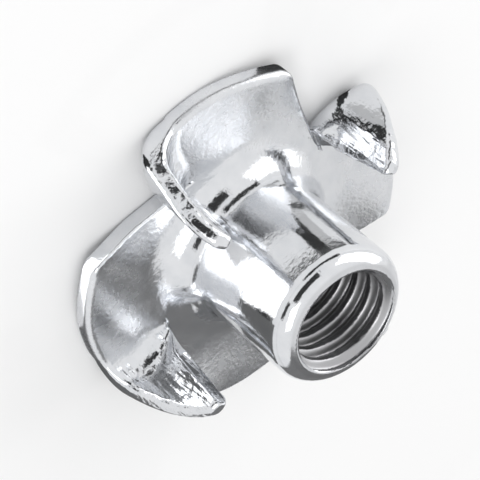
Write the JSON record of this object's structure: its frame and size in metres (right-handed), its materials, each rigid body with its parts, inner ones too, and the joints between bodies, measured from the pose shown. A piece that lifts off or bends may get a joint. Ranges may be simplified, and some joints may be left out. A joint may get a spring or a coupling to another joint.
{
  "type": "tee nut",
  "caption": "Pressed steel tee nut: a tapped barrel on a pinwheel flange whose lobes fold up into prongs that bite into timber.",
  "frame": {"origin": "centre of the flange's back face, on the axis of the bore", "axes": "+Z along the bore from the flange's back face to the mouth of the barrel; the folds of the prongs run along X and Y"},
  "size_m": [0.019, 0.019, 0.0092],
  "materials": {
    "zinc_plated_steel": "bright zinc plating, lightly rippled where the sheet was drawn"
  },
  "bodies": {
    "root": {"tee_nut": "zinc_plated_steel"}
  },
  "joints": []
}
